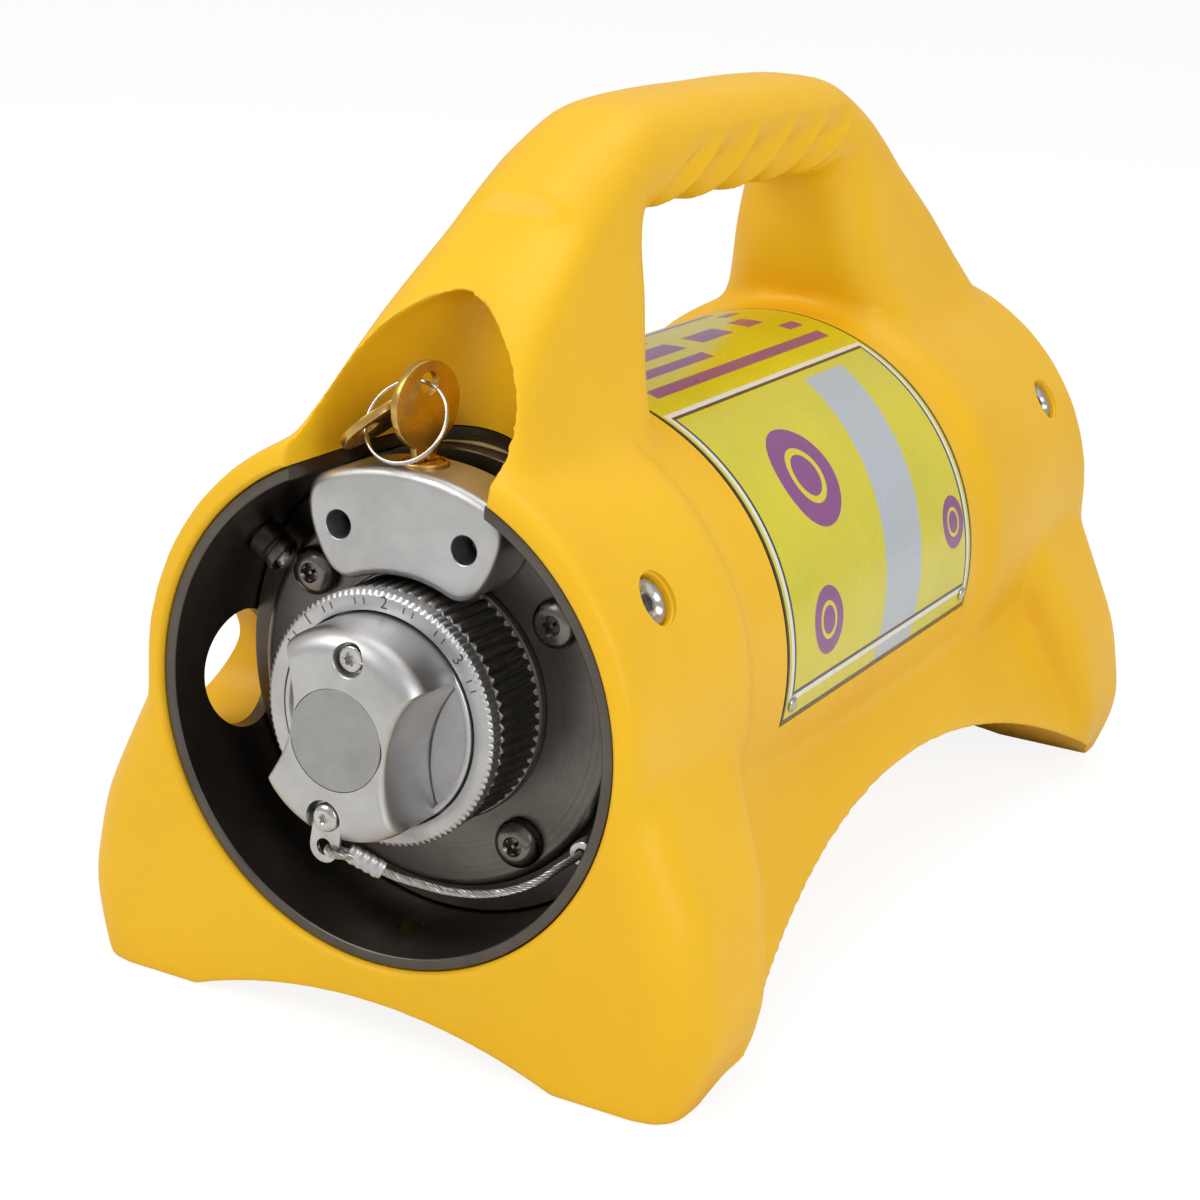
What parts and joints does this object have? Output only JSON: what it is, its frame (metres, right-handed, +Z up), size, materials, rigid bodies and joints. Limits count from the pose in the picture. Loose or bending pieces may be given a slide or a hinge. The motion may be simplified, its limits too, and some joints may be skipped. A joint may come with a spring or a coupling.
{
  "type": "shielded source projector",
  "caption": "Portable shielded industrial radiography projector: steel tube in a moulded carrying jacket with handle, key lock, selector ring and pull-out storage cover.",
  "frame": {"origin": "on the ground, under the middle of the object", "axes": "+Y from the lock end to the outlet end along the tube, +Z up, +X to the right as seen from the lock end"},
  "size_m": [0.1901, 0.373, 0.235],
  "materials": {
    "jacket": "satin",
    "shell": "brushed",
    "steel": "polished",
    "silver": "satin",
    "brass": "polished",
    "label": "gloss",
    "shield": "rough",
    "foam": "matte",
    "rope": "stranded"
  },
  "bodies": {
    "root": {"jacket": "jacket", "shell_tube": "shell", "lock_end_plate": "shell", "outlet_end_plate": "shell", "lock_flange": "shell", "outlet_flange": "shell", "selector_drum": "shell", "lock_housing": "silver", "housing_screw_left": "shell", "housing_screw_right": "shell", "outlet_port": "shell", "shield_casting": "shield", "source_tube": "steel", "source_cable": "rope", "foam_filler": "foam", "label_sheet": "label", "lanyard_rope": "rope", "lanyard_ferrule": "silver", "lanyard_anchor": "steel", "jacket_screw_1": "steel", "jacket_screw_2": "steel", "jacket_screw_3": "steel", "jacket_screw_4": "steel", "sleeve_nut_1": "shell", "sleeve_nut_2": "shell", "sleeve_nut_3": "shell", "sleeve_nut_4": "shell", "lock_flange_bolt_1": "shell", "lock_flange_bolt_2": "shell", "lock_flange_bolt_3": "shell", "lock_flange_bolt_4": "shell", "outlet_flange_bolt_1": "shell", "outlet_flange_bolt_2": "shell", "outlet_flange_bolt_3": "shell", "outlet_flange_bolt_4": "shell", "label_rivet_1": "steel", "label_rivet_2": "steel", "label_rivet_3": "steel", "label_rivet_4": "steel"},
    "selector": {"selector_ring": "silver"},
    "cover": {"storage_cover": "silver", "cover_inlay": "silver", "cover_set_screw": "steel", "lanyard_link": "steel", "lanyard_screw": "steel"},
    "plunger": {"lock_plunger": "brass"},
    "key": {"lock_core": "brass", "lock_key": "brass", "key_ring": "steel", "spare_key": "brass"},
    "shutter": {"outlet_shutter_ring": "silver"},
    "plug": {"outlet_plug": "shell"}
  },
  "joints": [
    {"name": "selector_turn", "type": "hinge", "parent": "root", "child": "selector", "pos_m": [0, -0.169, 0.088], "axis": [0, 1, 0], "range_deg": [-50, 50]},
    {"name": "cover_pull", "type": "slide", "parent": "root", "child": "cover", "axis": [0, -1, 0], "range_m": [0, 0.025]},
    {"name": "plunger_lift", "type": "slide", "parent": "root", "child": "plunger", "axis": [0, 0, 1], "range_m": [0, 0.006]},
    {"name": "key_turn", "type": "hinge", "parent": "plunger", "child": "key", "pos_m": [0, -0.15, 0.1516], "axis": [0, 0, 1], "range_deg": [0, 90]},
    {"name": "shutter_turn", "type": "hinge", "parent": "root", "child": "shutter", "pos_m": [0, 0.146, 0.088], "axis": [0, 1, 0], "range_deg": [0, 60]},
    {"name": "plug_pull", "type": "slide", "parent": "root", "child": "plug", "axis": [0, 1, 0], "range_m": [0, 0.022]}
  ]
}
